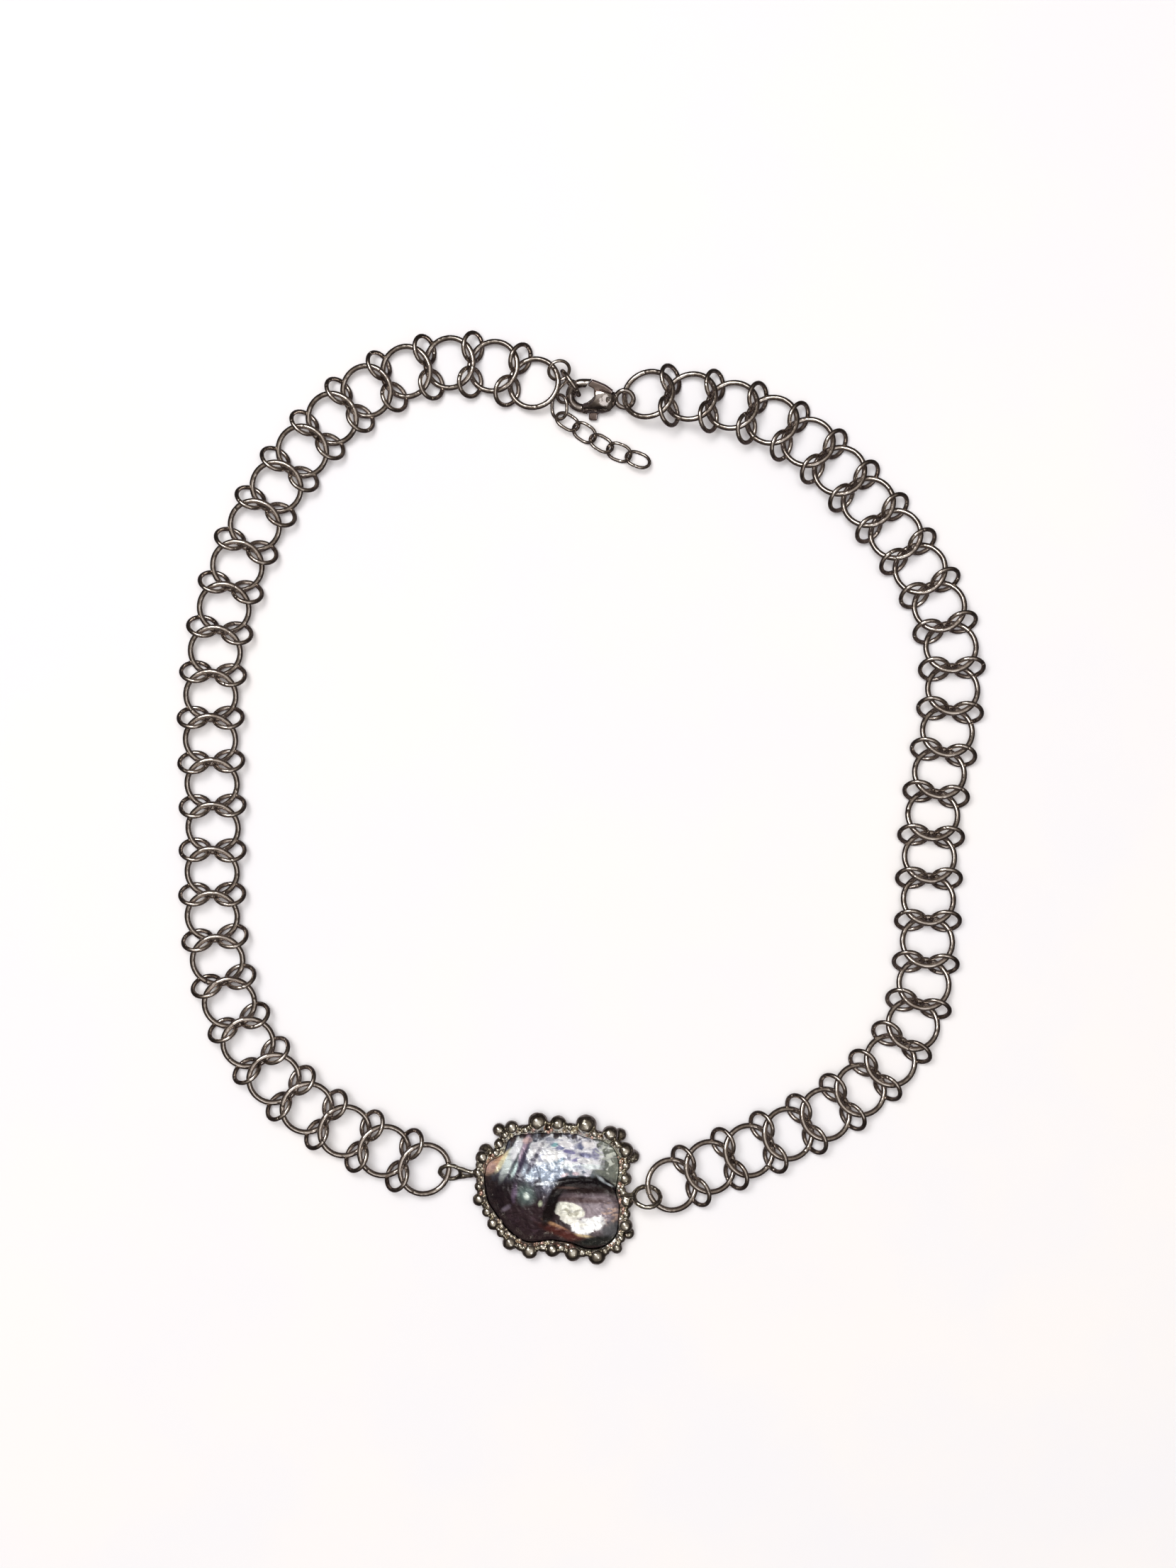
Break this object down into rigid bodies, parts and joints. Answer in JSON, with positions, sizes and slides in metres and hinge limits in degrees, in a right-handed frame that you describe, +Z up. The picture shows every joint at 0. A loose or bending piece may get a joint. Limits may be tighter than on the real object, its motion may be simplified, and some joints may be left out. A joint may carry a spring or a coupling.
{
  "type": "chainmail necklace with pearl pendant",
  "caption": "Necklace of linked steel rings that closes with a lobster clasp, with a free-form pearl pendant in a beaded soldered bezel and a short extender chain.",
  "frame": {"origin": "middle of the necklace's footprint, on the surface that it lies on", "axes": "+Y from the pendant towards the clasp, +X to the right seen from above, +Z up"},
  "size_m": [0.1458, 0.1682, 0.0072],
  "materials": {
    "steel_rings": "polished stainless steel wire",
    "soldered_frame": "tin solder with a glossy dark patina",
    "pearl": "nacre, dark grey with warm and blue sheen",
    "clasp": "polished stainless steel",
    "extender": "polished stainless steel wire"
  },
  "bodies": {
    "necklace": {"chain_left": "steel_rings", "chain_right": "steel_rings", "pendant_frame": "soldered_frame", "pearl": "pearl", "clasp_body": "clasp", "clasp_pin": "clasp", "end_rings": "steel_rings", "extender_chain": "extender"},
    "lever": {"clasp_lever": "clasp"}
  },
  "joints": [
    {"name": "lever_turn", "type": "hinge", "parent": "necklace", "child": "lever", "pos_m": [0.0048, 0.07203, 0.00253], "axis": [-0.0698, -0.3898, 0.9183], "range_deg": [0, 35], "stiffness_Nm_per_rad": 0.0002, "springref_deg": -20.05}
  ]
}
